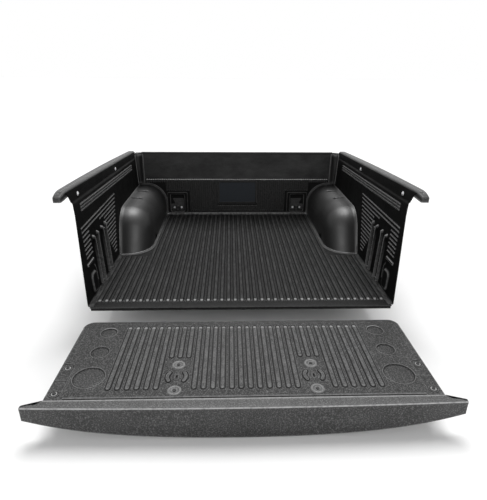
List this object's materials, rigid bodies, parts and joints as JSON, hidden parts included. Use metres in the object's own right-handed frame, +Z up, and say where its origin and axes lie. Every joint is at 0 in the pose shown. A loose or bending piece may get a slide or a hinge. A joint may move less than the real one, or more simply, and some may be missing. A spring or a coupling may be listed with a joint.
{
  "type": "truck bed liner",
  "caption": "Ribbed plastic liner for a pickup truck's cargo bed: floor, sides, wheel arch covers, bulkhead, rail caps and a tailgate panel with its cap, which opens.",
  "frame": {"origin": "on the floor panel's underside, on the centreline, at the rear edge of the bed's floor", "axes": "+X across the bed, to the right of somebody looking forward over the open tailgate; +Y forward to the cab; +Z up"},
  "size_m": [1.7106, 2.211, 0.7586],
  "materials": {
    "liner_plastic": "satin black polyethylene with moulded ribs and a fine pebble grain",
    "trim_plastic": "satin black moulded polypropylene",
    "cap_plastic": "black plastic with a coarse leather-like grain",
    "zinc_steel": "zinc-plated steel",
    "black_steel": "black-coated steel, worn at the edges",
    "rubber": "black rubber",
    "foam": "dark grey adhesive foam tape"
  },
  "bodies": {
    "bed": {"arch_cover_left": "liner_plastic", "arch_cover_right": "liner_plastic", "bulkhead_panel": "liner_plastic", "bulkhead_rail_cap": "trim_plastic", "corner_pillar_left": "trim_plastic", "corner_pillar_right": "trim_plastic", "floor_panel": "liner_plastic", "rail_cap_left": "cap_plastic", "rail_cap_right": "cap_plastic", "rail_cap_tape_left": "foam", "rail_cap_tape_right": "foam", "side_panel_left": "liner_plastic", "side_panel_right": "liner_plastic", "side_panel_screws_left": "zinc_steel", "side_panel_screws_right": "zinc_steel", "side_panel_washers_left": "zinc_steel", "side_panel_washers_right": "zinc_steel", "side_panel_well_nuts_left": "rubber", "side_panel_well_nuts_right": "rubber", "tie_down_bolts_left": "zinc_steel", "tie_down_bolts_right": "zinc_steel", "tie_down_plate_left": "black_steel", "tie_down_plate_right": "black_steel"},
    "tailgate": {"tailgate_cap": "cap_plastic", "tailgate_cap_tape": "foam", "tailgate_center_screws": "black_steel", "tailgate_cup_washers": "trim_plastic", "tailgate_edge_screws": "black_steel", "tailgate_edge_washers": "black_steel", "tailgate_panel": "liner_plastic", "tailgate_well_nuts": "rubber"},
    "ring_left": {"tie_down_ring_left": "black_steel"},
    "ring_right": {"tie_down_ring_right": "black_steel"}
  },
  "joints": [
    {"name": "tailgate_swing", "type": "hinge", "parent": "bed", "child": "tailgate", "pos_m": [0, -0.06, -0.075], "axis": [-1, 0, 0], "range_deg": [0, 90]},
    {"name": "ring_left_fold", "type": "hinge", "parent": "bed", "child": "ring_left", "pos_m": [-0.482, 1.505, 0.066], "axis": [-1, 0, 0], "range_deg": [0, 95]},
    {"name": "ring_right_fold", "type": "hinge", "parent": "bed", "child": "ring_right", "pos_m": [0.482, 1.505, 0.066], "axis": [-1, 0, 0], "range_deg": [0, 95]}
  ]
}
